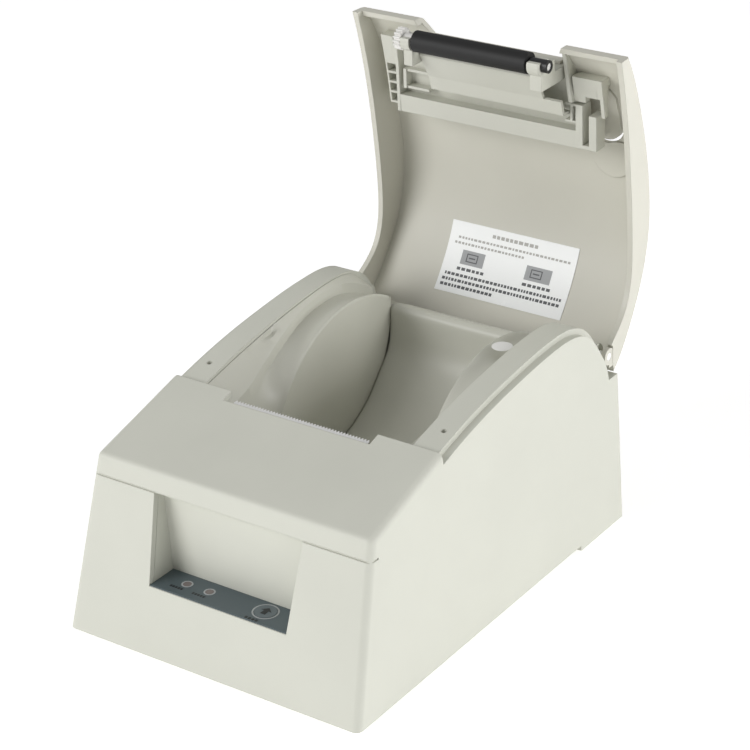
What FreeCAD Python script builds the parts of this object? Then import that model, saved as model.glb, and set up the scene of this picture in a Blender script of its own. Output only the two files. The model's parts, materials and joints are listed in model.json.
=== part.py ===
import FreeCAD, Part
import math
import os
from FreeCAD import Vector

# Desktop thermal receipt printer, clamshell type, drawn with its lid open.
# Frame: millimetres, +Z up, front towards -Y, +X to the right hand of a person facing the front.
# Everything is drawn about a point on the desk under the middle of the case, with the lid closed.
# The lid and all it carries are then swung open about the hinge line by LID_ANGLE, and every piece
# is moved forward by BOX_MIDDLE_Y, which puts the origin under the middle of the open printer.

# ---------------------------------------------------------------- driving dimensions
DEPTH = 186.0             # front foot line to rear wall
HALF_DEPTH = DEPTH / 2
HALF_WIDTH = 65.2         # half width of the case at desk level
SIDE_DRAFT = 0.065        # the sides lean in by this much per millimetre of height
FRONT_DRAFT = 0.257       # the front leans back by this much per millimetre of height
WALL = 2.4                # case wall
LIFT = 3.0                # lower edge of the case above the desk
REAR_LIFT = 0.8           # lower edge of the rear skirt above the desk
SKIRT_Y = 60.2            # the rear skirt starts here
CORNER_RADIUS = 2.8
BOX_MIDDLE_Y = 14.85      # middle of the open printer's whole depth, where the origin is put

HOOD_FRONT = Vector(0, -75.9, 69.7)
HOOD_REAR = Vector(0, -30.9, 83.0)
HOOD_SLOPE = math.degrees(math.atan2(HOOD_REAR.z - HOOD_FRONT.z, HOOD_REAR.y - HOOD_FRONT.y))
GROOVE_Z = 62.1           # decorative groove across the front
RAIL_RISE = 2.4           # rail above the ledge that the lid closes on
RAIL_INSET = 2.9          # rail wall inboard of the side face
RAIL_INNER = 46.2         # inner edge of the rails
REAR_TOP = 63.3           # top of the rear wall
LEDGE = [(-30.9, 78.6), (-12.0, 83.4), (8.4, 87.1), (27.0, 89.4), (50.8, 91.1),
         (65.6, 89.6), (73.0, 86.0), (80.1, 77.5), (83.6, 71.9), (86.2, REAR_TOP)]

HINGE = Vector(0, 87.5, 72.5)
LID_ANGLE = 88.5
LID_WALL = 2.3
LID_GAP = 0.4             # lid skirt above the ledge
NOTCH_Y = -22.9           # front edge of the lid over the platen
NOTCH_HALF = 29.2         # half width of that notch at its back
NOTCH_MOUTH = 33.0        # half width at the lid's tips
LID_LUG = 3.5             # round lug of the skirt about the hinge pin
PIN_RADIUS = 1.6
DOME = [(-29.5, 87.6), (-25.0, 90.4), (-12.5, 96.3), (0.6, 101.2), (15.0, 105.4), (30.4, 108.2),
        (43.8, 108.8), (55.0, 107.0), (68.0, 102.0), (79.0, 95.2), (88.0, 88.0), (94.0, 81.8)]

PLATEN = Vector(0, -26.4, 71.6)
PLATEN_RADIUS = 4.2
PLATEN_HALF = 25.3
SHAFT_RADIUS = 1.5
RUNNING_FIT = 0.06        # radial clearance of a turning fit

BAY_HALF = 32.0           # roll space between the cheek discs
BUCKET = Vector(0, 27.0, 78.0)
BUCKET_RADIUS = 47.0
BUCKET_WALL = 2.0
CHEEK = Vector(0, 46.0, 35.0)
CHEEK_RADIUS = 54.0
CHEEK_DISC = 2.4
CHANNEL_DROP = 4.0

POCKET_TOP_HALF = 32.7
POCKET_FLOOR_HALF = 30.5
POCKET_FLOOR = 28.7
POCKET_BACK = -72.5
POCKET_WALL = 1.6
KEY = Vector(15.9, -78.6, POCKET_FLOOR)
KEY_RADIUS = 4.3
LENS_X = (-19.2, -9.1)
LENS_RADIUS = 1.6

TEAR_EDGE = Vector(0, -31.6, 80.2)
TEAR_HALF = 30.2
TOOTH_PITCH = 1.3
SCREW_PLACES = [(x, y) for x in (-54.0, 54.0) for y in (-70.0, 74.0)]
BOARD_SCREW_PLACES = [(-50, -44), (50, -44), (-50, 50), (50, 50)]
TEAR_SLOT_FRONT = -36.2    # front edge of that notch
TEAR_SLOT = 32.6          # half width of the hood's notch over the tear bar

GEAR_MODULE = 0.5
GEAR_X = -33.3            # outer face of the gear train
GEAR_WIDTH = 3.0
PLATEN_TEETH = 16
TRANSFER_TEETH = 24
IDLER_TEETH = 28
PINION_TEETH = 10
FRAME_X = 28.3            # inner face of the mechanism's side plates
PLATE = 1.2
BUSHING_RADIUS = 2.5

BUTTON = Vector(41.5, -1.5, 0)
BUTTON_HALF = (7.3, 12.8) # half width and half length of the release key
BUTTON_GAP = 1.1
BUTTON_TRAVEL = 2.5
BUTTON_SPRING_FREE = 4.4   # length of its spring with the key out
LABEL_HALF = 29.7
LABEL_Y = (60.5, 85.5)    # rear part of the dome that the label covers
BOARD_TOP = 10.6
ROCKER = Vector(-44.0, HALF_DEPTH, 22.0)

X_AXIS = Vector(1, 0, 0)
Y_AXIS = Vector(0, 1, 0)
Z_AXIS = Vector(0, 0, 1)


# ---------------------------------------------------------------- small helpers
def box(x0, x1, y0, y1, z0, z1):
    return Part.makeBox(x1 - x0, y1 - y0, z1 - z0, Vector(x0, y0, z0))


def rod(radius, start, length, axis=X_AXIS):
    return Part.makeCylinder(radius, length, start, axis)


def tube(outer, inner, start, length, axis=X_AXIS):
    return rod(outer, start, length, axis).cut(rod(inner, start, length, axis))


def slab_x(outline, x0, x1):
    """A closed (y, z) outline, extruded along X."""
    wire = Part.makePolygon([Vector(x0, y, z) for y, z in outline + outline[:1]])
    return Part.Face(wire).extrude(Vector(x1 - x0, 0, 0))


def slab_y(outline, y0, y1):
    """A closed (x, z) outline, extruded along Y."""
    wire = Part.makePolygon([Vector(x, y0, z) for x, z in outline + outline[:1]])
    return Part.Face(wire).extrude(Vector(0, y1 - y0, 0))


def slab_z(outline, z0, z1):
    """A closed (x, y) outline, extruded along Z."""
    wire = Part.makePolygon([Vector(x, y, z0) for x, y in outline + outline[:1]])
    return Part.Face(wire).extrude(Vector(0, 0, z1 - z0))


def curved_slab_x(curve_points, straight_points, x0, x1):
    """An outline that follows a smooth curve and closes along straight lines, extruded along X."""
    curve = Part.BSplineCurve()
    curve.interpolate([Vector(x0, y, z) for y, z in curve_points])
    corners = [curve_points[-1]] + straight_points + [curve_points[0]]
    edges = [curve.toShape()]
    for a, b in zip(corners, corners[1:]):
        if a != b:
            edges.append(Part.makeLine(Vector(x0, a[0], a[1]), Vector(x0, b[0], b[1])))
    return Part.Face(Part.Wire(edges)).extrude(Vector(x1 - x0, 0, 0))


def fuse(shapes):
    whole = shapes[0]
    for shape in shapes[1:]:
        whole = whole.fuse(shape)
    return whole.removeSplitter()


def side_x(z):
    """Half width of the outside at height z."""
    return HALF_WIDTH - SIDE_DRAFT * z


def front_y(z):
    return -HALF_DEPTH + FRONT_DRAFT * (z - LIFT)


def drafted(shape, inset, y0=-130.0, y1=130.0):
    """Keep what lies between the two leaning side faces, moved inwards by inset."""
    top = 130.0
    outline = [(-side_x(0) + inset, 0), (side_x(0) - inset, 0),
               (side_x(top) - inset, top), (-side_x(top) + inset, top)]
    return shape.common(slab_y(outline, y0, y1))


def soften(shape, radius, wanted):
    """Round the edges that wanted() picks; keep the sharp shape where a radius does not fit."""
    edges = [edge for edge in shape.Edges if wanted(edge)]
    if not edges:
        return shape
    rounded = shape.makeFillet(radius, edges)
    return rounded if rounded.isValid() and rounded.Volume > 0 else shape


def shifted(points, distance):
    """The same outline moved by distance along its own left-hand normal."""
    moved = []
    for i, (y, z) in enumerate(points):
        before = points[max(i - 1, 0)]
        after = points[min(i + 1, len(points) - 1)]
        dy, dz = after[0] - before[0], after[1] - before[1]
        size = math.hypot(dy, dz)
        moved.append((y - dz / size * distance, z + dy / size * distance))
    return moved


def opened(shape):
    """Swing a part of the lid from its closed place to its open one."""
    turned = shape.copy()
    turned.rotate(HINGE, X_AXIS, -LID_ANGLE)
    return turned


def save(name, shape):
    if isinstance(shape, list):
        shape = Part.makeCompound(shape)
    shape.translate(Vector(0, -BOX_MIDDLE_Y, 0))
    shape.exportStep("parts/" + name + ".step")


# ---------------------------------------------------------------- case
def case_block(inset):
    """The closed outside of the case, moved inwards by inset (0 gives the outside)."""
    rise = RAIL_RISE - inset
    ledge = shifted(LEDGE, -inset)
    floor = LIFT if inset == 0 else -1.0
    skirt = REAR_LIFT if inset == 0 else -1.0
    hood = (HOOD_REAR.y, HOOD_REAR.z - inset)
    front_top = (front_y(HOOD_FRONT.z - inset) + inset, HOOD_FRONT.z - inset)
    base = [(HALF_DEPTH - inset, REAR_TOP - inset), (HALF_DEPTH - inset, skirt), (SKIRT_Y, skirt),
            (SKIRT_Y, floor), (front_y(floor) + inset, floor), front_top, hood]
    sides = drafted(curved_slab_x(ledge, base, -70, 70), inset)
    rail_top = shifted(LEDGE[:-1], rise)
    inner = [(83.6, REAR_TOP - 20), (HOOD_REAR.y - 1, REAR_TOP - 20)]
    rails = drafted(curved_slab_x(rail_top, inner, -70, 70), RAIL_INSET + inset)
    hood_end = box(-70, 70, HOOD_REAR.y - 5, HOOD_REAR.y, 40, 90)
    return sides.fuse(rails.cut(hood_end) if inset == 0 else rails)


def case_edges(edge):
    """The front corners and the edges of the hood."""
    a, b = edge.BoundBox.Center, edge.BoundBox
    front_corner = b.ZLength > 50 and a.y < -70 and abs(a.x) > 50
    hood_side = b.YLength > 40 and b.YLength < 50 and a.z > 70 and abs(a.x) > 50
    hood_front = b.XLength > 100 and abs(a.y - HOOD_FRONT.y) < 0.5 and a.z > 60
    return front_corner or hood_side or hood_front


def groove():
    """The shallow line across the front, which runs out just round the corners."""
    y = front_y(GROOVE_Z)
    ring = box(-70, 70, y - 10, y + 4.5, GROOVE_Z - 0.35, GROOVE_Z + 0.35)
    core = drafted(box(-70, 70, y + 0.5, y + 20, GROOVE_Z - 1, GROOVE_Z + 1), 0.5)
    return ring.cut(core)


def pocket_cut(grow):
    """The opening of the control pocket in the front, wider at the top."""
    low, high = POCKET_FLOOR - 0.5 - grow, GROOVE_Z - 0.35 + grow
    outline = [(-POCKET_FLOOR_HALF - grow, low), (POCKET_FLOOR_HALF + grow, low),
               (POCKET_TOP_HALF + grow, high), (-POCKET_TOP_HALF - grow, high)]
    return slab_y(outline, -100, POCKET_BACK + grow)


def rear_windows():
    """Openings in the rear wall for the sockets and the switch."""
    y0, y1 = HALF_DEPTH - 6, HALF_DEPTH + 1
    windows = [box(-14.2, -1.6, y0, y1, 10.3, 22.1),
               box(8.6, 23.4, y0, y1, 10.3, 24.7),
               rod(4.6, Vector(40, y0, 17.0), y1 - y0, Y_AXIS)]
    windows.append(box(ROCKER.x - 6.6, ROCKER.x + 6.6, y0, y1, ROCKER.z - 9.9, ROCKER.z + 9.9))
    return windows


def upper_case():
    outside = soften(case_block(0), CORNER_RADIUS, case_edges)
    shell = outside.cut(case_block(WALL))
    shell = shell.cut(box(-RAIL_INNER, RAIL_INNER, HOOD_REAR.y, 86.4, 45, 130))
    shell = shell.cut(box(-TEAR_SLOT, TEAR_SLOT, TEAR_SLOT_FRONT, HOOD_REAR.y + 1, 60, 130))
    shell = shell.cut(pocket_cut(0.0)).cut(groove())
    for window in rear_windows():
        shell = shell.cut(window)
    for x in (-55.3, 49.4):
        shell = shell.cut(rod(1.1, Vector(x + 3.0, -18.4, 70), 30, Z_AXIS))
    ears = []
    for side in (-1, 1):
        ear = rod(LID_LUG + 0.6, Vector(side * 53.5 - 1.6, HINGE.y, HINGE.z), 3.2)
        post = box(side * 53.5 - 1.6, side * 53.5 + 1.6, HINGE.y - 4.0, HINGE.y + 3.0, 58, HINGE.z)
        hole = rod(PIN_RADIUS, Vector(side * 53.5 - 3, HINGE.y, HINGE.z), 6)
        ears.append(ear.fuse(post).cut(hole))
    bosses = [tube(3.2, 1.2, Vector(x, y, 5.0), 12.0, Z_AXIS) for x, y in SCREW_PLACES]
    webs = []
    for x, y in SCREW_PLACES:
        side = 1 if x > 0 else -1
        edge = side_x(12) - 1.2
        web = box(min(x + side * 2.6, side * edge), max(x + side * 2.6, side * edge), y - 0.8, y + 0.8, 6, 16)
        webs.append(web)
    return fuse([shell] + ears + bosses + webs)


def base_plate():
    """The bottom cover with its feet pockets and vents."""
    plate = drafted(box(-70, 70, front_y(LIFT) + WALL + 0.4, SKIRT_Y - 0.6, 2.2, 4.6), WALL + 0.3)
    tail = drafted(box(-70, 70, SKIRT_Y - 0.6, HALF_DEPTH - WALL - 0.3, 2.2, 4.6), WALL + 0.3)
    plate = plate.fuse(tail)
    for i in range(7):
        y = -20.0 + 7.0 * i
        plate = plate.cut(box(-22, 22, y, y + 2.4, 0, 6))
    for x, y in SCREW_PLACES:
        plate = plate.cut(rod(1.7, Vector(x, y, 0), 8, Z_AXIS))
    for x, y in BOARD_SCREW_PLACES:
        plate = plate.fuse(tube(3.0, 1.1, Vector(x, y, 4.2), 4.8, Z_AXIS))
    return plate.removeSplitter()


def feet():
    places = [(x, y) for x in (-46.0, 46.0) for y in (-78.0, 80.0)]
    return [rod(6.0, Vector(x, y, 0), 2.2, Z_AXIS) for x, y in places]


def base_screws():
    screws = []
    for x, y in SCREW_PLACES:
        head = rod(2.6, Vector(x, y, 1.0), 1.2, Z_AXIS)
        shank = rod(1.15, Vector(x, y, 1.0), 12, Z_AXIS)
        slot = box(x - 1.6, x + 1.6, y - 0.3, y + 0.3, 0.5, 1.5)
        screws.append(head.fuse(shank).cut(slot))
    return screws


# ---------------------------------------------------------------- control pocket
def control_pocket():
    """The alcove behind the front opening: floor, side walls, back wall and roof."""
    low, high = POCKET_FLOOR - 0.5, GROOVE_Z - 0.35
    floor_half, top_half = POCKET_FLOOR_HALF + POCKET_WALL, POCKET_TOP_HALF + POCKET_WALL
    outer = [(-floor_half, low - POCKET_WALL), (floor_half, low - POCKET_WALL),
             (top_half, high + POCKET_WALL), (-top_half, high + POCKET_WALL)]
    inner = [(-POCKET_FLOOR_HALF, low), (POCKET_FLOOR_HALF, low),
             (POCKET_TOP_HALF, high), (-POCKET_TOP_HALF, high)]
    block = slab_y(outer, -92, POCKET_BACK + POCKET_WALL).cut(slab_y(inner, -95, POCKET_BACK))
    behind_front = WALL + 0.2
    lean_side = [(front_y(0) + behind_front, 0), (-40, 0), (-40, 90), (front_y(90) + behind_front, 90)]
    lean = slab_x(lean_side, -60, 60)
    pocket = block.common(lean)
    pocket = pocket.cut(rod(KEY_RADIUS + 0.15, KEY - Z_AXIS * 6, 8, Z_AXIS))
    for x in LENS_X:
        pocket = pocket.cut(rod(LENS_RADIUS, Vector(x, KEY.y, KEY.z - 6), 8, Z_AXIS))
    return pocket


def panel_overlay():
    """The dark film on the pocket's floor."""
    y0 = front_y(POCKET_FLOOR) + 0.3
    film = box(-POCKET_FLOOR_HALF + 0.1, POCKET_FLOOR_HALF - 0.1, y0, POCKET_BACK - 0.1, KEY.z - 0.5, KEY.z)
    film = film.cut(rod(KEY_RADIUS + 0.15, KEY - Z_AXIS * 2, 4, Z_AXIS))
    for x in LENS_X:
        film = film.cut(rod(LENS_RADIUS, Vector(x, KEY.y, KEY.z - 2), 4, Z_AXIS))
    return film


def lens(x):
    return rod(LENS_RADIUS, Vector(x, KEY.y, KEY.z - 4.5), 4.6, Z_AXIS)


def feed_button():
    cap = rod(KEY_RADIUS, KEY - Z_AXIS * 2.6, 2.8, Z_AXIS)
    flange = rod(KEY_RADIUS + 1.0, KEY - Z_AXIS * 3.4, 0.8, Z_AXIS)
    stem = rod(1.4, KEY - Z_AXIS * 4.6, 1.3, Z_AXIS)
    return fuse([cap, flange, stem])


def panel_board():
    top = KEY.z - 9.2
    board = box(-29, 29, -87.0 + 1.4, POCKET_BACK + 1, top - 1.2, top)
    return board


def feed_switch():
    top = KEY.z - 9.2
    body = box(KEY.x - 3, KEY.x + 3, KEY.y - 3, KEY.y + 3, top, top + 3.2)
    return body.fuse(rod(1.5, Vector(KEY.x, KEY.y, top + 3.2), 0.6, Z_AXIS))


def panel_leds():
    top = KEY.z - 9.2
    return [fuse([rod(1.5, Vector(x, KEY.y, top), 3.0, Z_AXIS),
                  Part.makeSphere(1.5, Vector(x, KEY.y, top + 3.0))]) for x in LENS_X]


# ---------------------------------------------------------------- paper bay
def paper_bucket():
    """The roll's trough: a round floor, a rear wall with a sloping lip, open at both ends."""
    centre = BUCKET - X_AXIS * BAY_HALF
    ring = tube(BUCKET_RADIUS + BUCKET_WALL, BUCKET_RADIUS, centre, 2 * BAY_HALF)
    ring = ring.cut(box(-60, 60, -60, 140, BUCKET.z - 4.0, 160))
    ring = ring.cut(box(-60, 60, -60, BUCKET.y - 43.5, 0, 160))
    lip_side = [(73.6, 75.4), (74.6, 75.6), (85.6, 71.4), (85.6, 69.6),
                (76.0, 73.2), (76.0, 72.0), (73.6, 72.0)]
    lip = slab_x(lip_side, -BAY_HALF, BAY_HALF)
    posts = fuse([box(x - 2, x + 2, 22, 32, 10.8, 30.4) for x in (-24.0, 24.0)])
    posts = posts.cut(rod(BUCKET_RADIUS + 1.0, BUCKET - X_AXIS * 60, 120))
    window = box(-4, 4, 14, 20, 25, 40)
    return fuse([ring, lip, posts]).cut(window)


def paper_sensor():
    body = box(-3.6, 3.6, 14.4, 19.6, 27.4, 32.6)
    for x in (-1.6, 1.6):
        body = body.cut(rod(0.9, Vector(x, 17, 31.6), 3, Z_AXIS))
    return body


def cheek_profile(radius, y0, y1, z0):
    """The part of a disc about the cheek's centre that stands above z0 between y0 and y1."""
    disc = rod(radius, CHEEK - X_AXIS * 80, 160)
    return disc.common(box(-80, 80, y0, y1, z0, 120))


def cheek(side):
    """One end guide of the roll: disc, channel and rim up to the rail."""
    inner, outer = BAY_HALF + 0.3, RAIL_INNER - 0.1
    disc = cheek_profile(CHEEK_RADIUS, -16.5, 73.4, 30)
    disc = disc.common(box(inner, inner + CHEEK_DISC, -80, 120, 0, 120))
    channel_radius = CHEEK_RADIUS - CHANNEL_DROP
    floor_band = cheek_profile(channel_radius, -4.5, 73.4, 55)
    floor_band = floor_band.cut(rod(channel_radius - 2, CHEEK - X_AXIS * 80, 160))
    floor_band = floor_band.common(box(inner, outer - 3.4, -80, 120, 0, 120))
    rim_top = [(-29.5, 75.0), (-12.0, 78.0), (1.1, 80.6), (14.5, 85.2), (29.3, 89.2),
               (42.2, 90.7), (54.4, 90.6), (64.1, 88.2), (73.4, 82.6)]
    rim = curved_slab_x(rim_top, [(73.4, 70.0), (-29.5, 70.0)], outer - 3.6, outer)
    rim_under = [(y, z - 2.4) for y, z in rim_top]
    rim = rim.cut(curved_slab_x(rim_under, [(76, 55), (-32, 55)], outer - 2.0, outer + 1))
    funnel = slab_y([(outer - 3.0, 75.0), (36.4, 69.6), (36.4, 67.4), (outer - 3.0, 72.6)], -29.5, -4.0)
    skirt = box(outer - 3.6, outer - 2.0, -29.5, 73.4, 55, 74.0)
    whole = fuse([disc, floor_band, rim, skirt, funnel])
    return whole if side > 0 else whole.mirror(Vector(0, 0, 0), X_AXIS)


# ---------------------------------------------------------------- print mechanism
def gear(teeth, centre, bore, turn=0.0):
    """A straight-toothed gear with trapezoid teeth and a little backlash."""
    pitch = GEAR_MODULE * teeth / 2
    tip, root = pitch + 0.8 * GEAR_MODULE, pitch - 1.1 * GEAR_MODULE
    step = 2 * math.pi / teeth
    outline = []
    for i in range(teeth):
        middle = i * step + turn
        for radius, share in ((root, -0.30), (tip, -0.11), (tip, 0.11), (root, 0.30)):
            angle = middle + share * step
            outline.append((centre.y + radius * math.cos(angle), centre.z + radius * math.sin(angle)))
    body = slab_x(outline, GEAR_X, GEAR_X + GEAR_WIDTH)
    return body.cut(rod(bore, Vector(GEAR_X - 1, centre.y, centre.z), GEAR_WIDTH + 2))


def mesh_centre(start, teeth_a, teeth_b, direction):
    """Centre of the next gear along a direction in degrees, at the sum of both pitch radii."""
    gap = GEAR_MODULE * (teeth_a + teeth_b) / 2
    angle = math.radians(direction)
    return start + Vector(0, gap * math.cos(angle), gap * math.sin(angle))


def mesh_turn(own_teeth, other_teeth, other_turn, direction):
    """Turn of a gear that puts a gap where the other gear has a tooth on the line of centres."""
    angle = math.radians(direction)
    offset = (angle - other_turn) * other_teeth
    own_step = 2 * math.pi / own_teeth
    return angle + math.pi + own_step / 2 + offset / own_teeth


TRANSFER_DIRECTION = -106.0
IDLER_DIRECTION = -120.0
PINION_DIRECTION = -143.0
TRANSFER = mesh_centre(PLATEN, PLATEN_TEETH, TRANSFER_TEETH, TRANSFER_DIRECTION)
IDLER = mesh_centre(TRANSFER, TRANSFER_TEETH, IDLER_TEETH, IDLER_DIRECTION)
PINION = mesh_centre(IDLER, IDLER_TEETH, PINION_TEETH, PINION_DIRECTION)
PLATEN_TURN = 0.0
TRANSFER_TURN = mesh_turn(TRANSFER_TEETH, PLATEN_TEETH, PLATEN_TURN, TRANSFER_DIRECTION)
IDLER_TURN = mesh_turn(IDLER_TEETH, TRANSFER_TEETH, TRANSFER_TURN, IDLER_DIRECTION)
PINION_TURN = mesh_turn(PINION_TEETH, IDLER_TEETH, IDLER_TURN, PINION_DIRECTION)


def mechanism_frame():
    """Folded steel: two side plates, a front web and a foot."""
    left_side = [(-54.0, 34.0), (-21.5, 34.0), (-21.5, 76.0), (-44.6, 76.0), (-54.0, 56.0)]
    right_side = [(-46.0, 34.0), (-21.5, 34.0), (-21.5, 76.0), (-44.6, 76.0), (-46.0, 56.0)]
    left = slab_x(left_side, -FRAME_X - PLATE, -FRAME_X)
    right = slab_x(right_side, FRAME_X, FRAME_X + PLATE)
    bucket_room = rod(BUCKET_RADIUS + BUCKET_WALL + 0.6, BUCKET - X_AXIS * 60, 120)
    web = box(-FRAME_X - PLATE, FRAME_X + PLATE, -44.8, -44.8 + PLATE, 58.0, 76.0)
    foot = box(-FRAME_X - PLATE, FRAME_X + PLATE, -50.0, -21.5, 32.8, 34.0)
    legs = [box(x - 3, x + 3, y - 3, y + 3, 4.8, 32.8) for x in (-24.0, 24.0) for y in (-45.0, -30.0)]
    whole = fuse([left, right, web, foot] + legs)
    notch = box(-60, 60, PLATEN.y - 5.0, PLATEN.y + 9.0, PLATEN.z - 5.0, 100)
    cable_slot = box(-21.0, 5.0, -27.6, -20.0, 32.0, 35.0)
    whole = whole.cut(notch).cut(bucket_room).cut(cable_slot)
    for centre in (TRANSFER, IDLER, PINION):
        whole = whole.cut(rod(1.0, Vector(-40, centre.y, centre.z), 20))
    return whole.cut(rod(2.2, Vector(-40, PINION.y, PINION.z), 20))


def print_head():
    """Ceramic strip with its heater line, facing the platen."""
    face = PLATEN.y - PLATEN_RADIUS - 0.35
    strip = box(-27.0, 27.0, face - 1.0, face, 64.0, 77.0)
    line = box(-24.2, 24.2, face - 0.2, face + 0.12, PLATEN.z - 0.6, PLATEN.z + 0.6)
    return strip.fuse(line).removeSplitter()


def heatsink():
    face = PLATEN.y - PLATEN_RADIUS - 1.4
    plate = box(-27.2, 27.2, face - 3.0, face, 58.5, 77.2)
    for x in range(-22, 23, 11):
        plate = plate.cut(box(x - 2.4, x + 2.4, face - 3.2, face - 1.6, 60.5, 75.0))
    return plate


def coil_spring(start, axis, radius, wire, length, turns):
    path = Part.makeHelix(length / turns, length, radius)
    profile = Part.Wire([Part.makeCircle(wire, Vector(radius, 0, 0), Vector(0, 1, 0))])
    coil = Part.Wire(path.Edges).makePipeShell([profile], True, True)
    turn = FreeCAD.Rotation(Z_AXIS, axis)
    coil.Placement = FreeCAD.Placement(start, turn).multiply(coil.Placement)
    return coil


def head_springs():
    face = PLATEN.y - PLATEN_RADIUS - 1.4 - 3.0
    length = face - (-44.8 + PLATE) - 1.0
    start = -44.8 + PLATE + 0.5
    return [coil_spring(Vector(x, start, 68.0), Y_AXIS, 2.2, 0.35, length, 5) for x in (-16.5, 0.0, 16.5)]


def head_cable():
    """Flat cable from the head, down behind the foot plate to the main board."""
    face = PLATEN.y - PLATEN_RADIUS - 1.35
    thick = 0.3
    route = [(face, 63.6), (face + 1.0, 62.0), (face + 1.4, 52.0), (face + 0.6, 36.5), (-20.4, 31.0),
             (-19.6, 16.4), (-18.6, 13.9)]
    back = [(y + thick, z - 0.1) for y, z in reversed(route)]
    return slab_x(route + back, -20.0, 4.0)


def step_motor():
    body = rod(10.0, Vector(-FRAME_X + 0.1, PINION.y, PINION.z), 17.0)
    boss = rod(2.1, Vector(-FRAME_X - PLATE, PINION.y, PINION.z), PLATE + 0.2)
    cap = rod(8.6, Vector(-FRAME_X + 17.0, PINION.y, PINION.z), 1.4)
    shaft_room = rod(0.9, Vector(-40, PINION.y, PINION.z), 20)
    return fuse([body, boss, cap]).cut(shaft_room)


def motor_pinion():
    teeth = gear(PINION_TEETH, PINION, 0.2, PINION_TURN)
    shaft = rod(0.84, Vector(GEAR_X - 0.4, PINION.y, PINION.z), 11.0)
    return teeth.fuse(shaft).removeSplitter()


def gear_pins():
    pins = []
    for centre in (TRANSFER, IDLER):
        pin = rod(1.0, Vector(GEAR_X - 0.9, centre.y, centre.z), -FRAME_X - GEAR_X + 0.9)
        pins.append(pin.fuse(rod(1.7, Vector(GEAR_X - 0.9, centre.y, centre.z), 0.5)))
    return pins


def tear_bar():
    """Serrated steel strip under the rear edge of the hood."""
    count = int(2 * TEAR_HALF / TOOTH_PITCH)
    start = -count * TOOTH_PITCH / 2
    outline = [(start, -9.0)]
    for i in range(count):
        x = start + i * TOOTH_PITCH
        outline.append((x, -1.1))
        outline.append((x + TOOTH_PITCH / 2, 0.0))
    outline.append((start + count * TOOTH_PITCH, -1.1))
    outline.append((start + count * TOOTH_PITCH, -9.0))
    strip = slab_z(outline, -0.5, 0.0)
    strip.rotate(Vector(0, 0, 0), X_AXIS, HOOD_SLOPE)
    strip.translate(TEAR_EDGE)
    return strip


# ---------------------------------------------------------------- electronics and rear sockets
def main_board():
    board = box(-56, 56, -48, 84.0, 9.0, BOARD_TOP)
    for x, y in BOARD_SCREW_PLACES:
        board = board.cut(rod(1.6, Vector(x, y, 5), 10, Z_AXIS))
    for x, y in SCREW_PLACES:
        board = board.cut(rod(4.2, Vector(x, y, 5), 10, Z_AXIS))
    for x in (-24.0, 24.0):
        for y in (-45.0, -30.0):
            board = board.cut(box(x - 3.6, x + 3.6, y - 3.6, y + 3.6, 5, 15))
    return board


def board_parts():
    z = BOARD_TOP
    pieces = [box(-10, 4, -8, 6, z, z + 1.6), box(-40, -30, 8, 24, z, z + 1.4),
              box(36, 48, -10, -2, z, z + 5.0), box(-48, -38, -22, -12, z, z + 4.4),
              box(-20, 4, -20.6, -17.4, z, z + 3.0)]
    for x, y in ((40, 30), (40, 42), (-42, 36)):
        pieces.append(rod(3.6, Vector(x, y, z), 9.0, Z_AXIS))
    for i in range(5):
        pieces.append(box(12 + 4 * i, 14 + 4 * i, 40, 41.2, z, z + 0.8))
    return pieces


def board_screws():
    screws = []
    for x, y in BOARD_SCREW_PLACES:
        head = rod(2.6, Vector(x, y, BOARD_TOP), 1.6, Z_AXIS)
        screws.append(head.fuse(rod(1.1, Vector(x, y, 5.0), 6.0, Z_AXIS)))
    return screws


def usb_port():
    shell = box(-13.9, -1.9, HALF_DEPTH - 16, HALF_DEPTH - 0.2, BOARD_TOP, BOARD_TOP + 11.2)
    cavity = box(-12.1, -3.7, HALF_DEPTH - 10, HALF_DEPTH + 1, BOARD_TOP + 1.7, BOARD_TOP + 9.5)
    tongue = box(-10.7, -5.1, HALF_DEPTH - 10.4, HALF_DEPTH - 1.4, BOARD_TOP + 4.0, BOARD_TOP + 7.2)
    return shell.cut(cavity).fuse(tongue).removeSplitter()


def drawer_port():
    body = box(9.0, 23.0, HALF_DEPTH - 17, HALF_DEPTH - 0.2, BOARD_TOP, BOARD_TOP + 13.8)
    cavity = box(11.2, 20.8, HALF_DEPTH - 13, HALF_DEPTH + 1, BOARD_TOP + 3.6, BOARD_TOP + 10.2)
    clip = box(13.0, 19.0, HALF_DEPTH - 13, HALF_DEPTH + 1, BOARD_TOP + 1.6, BOARD_TOP + 3.7)
    return body.cut(cavity).cut(clip)


def power_jack():
    body = box(34.8, 45.2, HALF_DEPTH - 15.0, HALF_DEPTH - 3.4, BOARD_TOP, BOARD_TOP + 12.0)
    nose = rod(4.3, Vector(40, HALF_DEPTH - 4.0, 17.0), 3.6, Y_AXIS)
    hole = rod(3.1, Vector(40, HALF_DEPTH - 12, 17.0), 14, Y_AXIS)
    pin = rod(1.05, Vector(40, HALF_DEPTH - 12.4, 17.0), 10.6, Y_AXIS)
    return fuse([body, nose]).cut(hole).fuse(pin)


def switch_body():
    """The frame of the power switch, with a well for the rocker."""
    x, z = ROCKER.x, ROCKER.z
    flange = box(x - 7.6, x + 7.6, HALF_DEPTH, HALF_DEPTH + 1.2, z - 11, z + 11)
    body = box(x - 6.4, x + 6.4, HALF_DEPTH - 14, HALF_DEPTH + 0.2, z - 9.7, z + 9.7)
    well = box(x - 4.9, x + 4.9, HALF_DEPTH - 7.4, HALF_DEPTH + 2, z - 8.2, z + 8.2)
    pivot = rod(1.0, Vector(x - 5.2, HALF_DEPTH - 1.6, z), 10.4)
    return fuse([flange, body]).cut(well).fuse(pivot).removeSplitter()


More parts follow.
